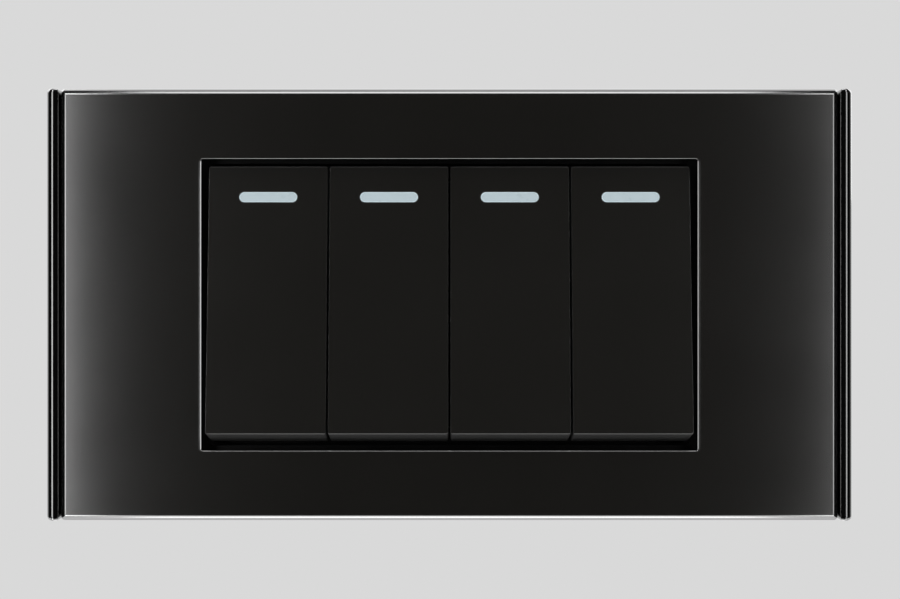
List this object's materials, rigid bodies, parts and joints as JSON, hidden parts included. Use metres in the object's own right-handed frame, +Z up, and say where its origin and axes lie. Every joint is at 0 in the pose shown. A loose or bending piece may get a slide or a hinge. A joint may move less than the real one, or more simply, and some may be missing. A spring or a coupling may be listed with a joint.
{
  "type": "four-gang light switch",
  "caption": "Wide gloss black wall switch with a row of rockers, pale indicator strips, side trims and snap-in switch modules behind.",
  "frame": {"origin": "middle between the two box fixings, in the wall plane", "axes": "+X across the wall, +Y into the wall, +Z up; the front faces -Y"},
  "size_m": [0.1494, 0.037, 0.08],
  "materials": {
    "plate_gloss": "gloss",
    "trim_gloss": "gloss",
    "rocker_gloss": "gloss",
    "indicator_pale": "satin",
    "frame_plastic": "satin",
    "module_dark": "satin",
    "module_grey": "matte",
    "plunger_plastic": "satin",
    "spring_steel": "bright",
    "blade_bronze": "satin",
    "terminal_brass": "satin",
    "contact_silver": "satin",
    "screw_steel": "zinc plated"
  },
  "bodies": {
    "switch_body": {"face_plate": "plate_gloss", "side_trim_left": "trim_gloss", "side_trim_right": "trim_gloss", "support_frame": "frame_plastic", "fixed_contacts": "contact_silver", "terminal_screws": "screw_steel", "common_terminal_1": "terminal_brass", "switched_terminal_1": "terminal_brass", "module_cap_1": "module_dark", "module_base_1": "module_grey", "common_terminal_2": "terminal_brass", "switched_terminal_2": "terminal_brass", "module_cap_2": "module_dark", "module_base_2": "module_grey", "common_terminal_3": "terminal_brass", "switched_terminal_3": "terminal_brass", "module_cap_3": "module_dark", "module_base_3": "module_grey", "common_terminal_4": "terminal_brass", "switched_terminal_4": "terminal_brass", "module_cap_4": "module_dark", "module_base_4": "module_grey"},
    "rocker_body_1": {"rocker_1": "rocker_gloss", "indicator_strip_1": "indicator_pale", "plunger_spring_1": "spring_steel"},
    "plunger_body_1": {"plunger_1": "plunger_plastic"},
    "blade_body_1": {"contact_blade_1": "blade_bronze", "moving_contact_1": "contact_silver"},
    "rocker_body_2": {"rocker_2": "rocker_gloss", "indicator_strip_2": "indicator_pale", "plunger_spring_2": "spring_steel"},
    "plunger_body_2": {"plunger_2": "plunger_plastic"},
    "blade_body_2": {"contact_blade_2": "blade_bronze", "moving_contact_2": "contact_silver"},
    "rocker_body_3": {"rocker_3": "rocker_gloss", "indicator_strip_3": "indicator_pale", "plunger_spring_3": "spring_steel"},
    "plunger_body_3": {"plunger_3": "plunger_plastic"},
    "blade_body_3": {"contact_blade_3": "blade_bronze", "moving_contact_3": "contact_silver"},
    "rocker_body_4": {"rocker_4": "rocker_gloss", "indicator_strip_4": "indicator_pale", "plunger_spring_4": "spring_steel"},
    "plunger_body_4": {"plunger_4": "plunger_plastic"},
    "blade_body_4": {"contact_blade_4": "blade_bronze", "moving_contact_4": "contact_silver"}
  },
  "joints": [
    {"name": "rocker_hinge_1", "type": "hinge", "parent": "switch_body", "child": "rocker_body_1", "pos_m": [-0.03375, 0.0005, 0], "axis": [1, 0, 0], "range_deg": [0, 12]},
    {"name": "plunger_slide_1", "type": "slide", "parent": "rocker_body_1", "child": "plunger_body_1", "axis": [0, -0.9945, 0.1045], "range_m": [0, 0.001], "stiffness_N_per_m": 300, "deforming": ["plunger_spring_1"]},
    {"name": "blade_hinge_1", "type": "hinge", "parent": "switch_body", "child": "blade_body_1", "pos_m": [-0.03375, 0.0163, 0], "axis": [1, 0, 0], "range_deg": [-16, 0]},
    {"name": "rocker_hinge_2", "type": "hinge", "parent": "switch_body", "child": "rocker_body_2", "pos_m": [-0.01125, 0.0005, 0], "axis": [1, 0, 0], "range_deg": [0, 12]},
    {"name": "plunger_slide_2", "type": "slide", "parent": "rocker_body_2", "child": "plunger_body_2", "axis": [0, -0.9945, 0.1045], "range_m": [0, 0.001], "stiffness_N_per_m": 300, "deforming": ["plunger_spring_2"]},
    {"name": "blade_hinge_2", "type": "hinge", "parent": "switch_body", "child": "blade_body_2", "pos_m": [-0.01125, 0.0163, 0], "axis": [1, 0, 0], "range_deg": [-16, 0]},
    {"name": "rocker_hinge_3", "type": "hinge", "parent": "switch_body", "child": "rocker_body_3", "pos_m": [0.01125, 0.0005, 0], "axis": [1, 0, 0], "range_deg": [0, 12]},
    {"name": "plunger_slide_3", "type": "slide", "parent": "rocker_body_3", "child": "plunger_body_3", "axis": [0, -0.9945, 0.1045], "range_m": [0, 0.001], "stiffness_N_per_m": 300, "deforming": ["plunger_spring_3"]},
    {"name": "blade_hinge_3", "type": "hinge", "parent": "switch_body", "child": "blade_body_3", "pos_m": [0.01125, 0.0163, 0], "axis": [1, 0, 0], "range_deg": [-16, 0]},
    {"name": "rocker_hinge_4", "type": "hinge", "parent": "switch_body", "child": "rocker_body_4", "pos_m": [0.03375, 0.0005, 0], "axis": [1, 0, 0], "range_deg": [0, 12]},
    {"name": "plunger_slide_4", "type": "slide", "parent": "rocker_body_4", "child": "plunger_body_4", "axis": [0, -0.9945, 0.1045], "range_m": [0, 0.001], "stiffness_N_per_m": 300, "deforming": ["plunger_spring_4"]},
    {"name": "blade_hinge_4", "type": "hinge", "parent": "switch_body", "child": "blade_body_4", "pos_m": [0.03375, 0.0163, 0], "axis": [1, 0, 0], "range_deg": [-16, 0]}
  ],
  "couplings": [
    {"joint": "blade_hinge_1", "follows": "rocker_hinge_1", "ratio": -1.3333},
    {"joint": "blade_hinge_2", "follows": "rocker_hinge_2", "ratio": -1.3333},
    {"joint": "blade_hinge_3", "follows": "rocker_hinge_3", "ratio": -1.3333},
    {"joint": "blade_hinge_4", "follows": "rocker_hinge_4", "ratio": -1.3333}
  ]
}
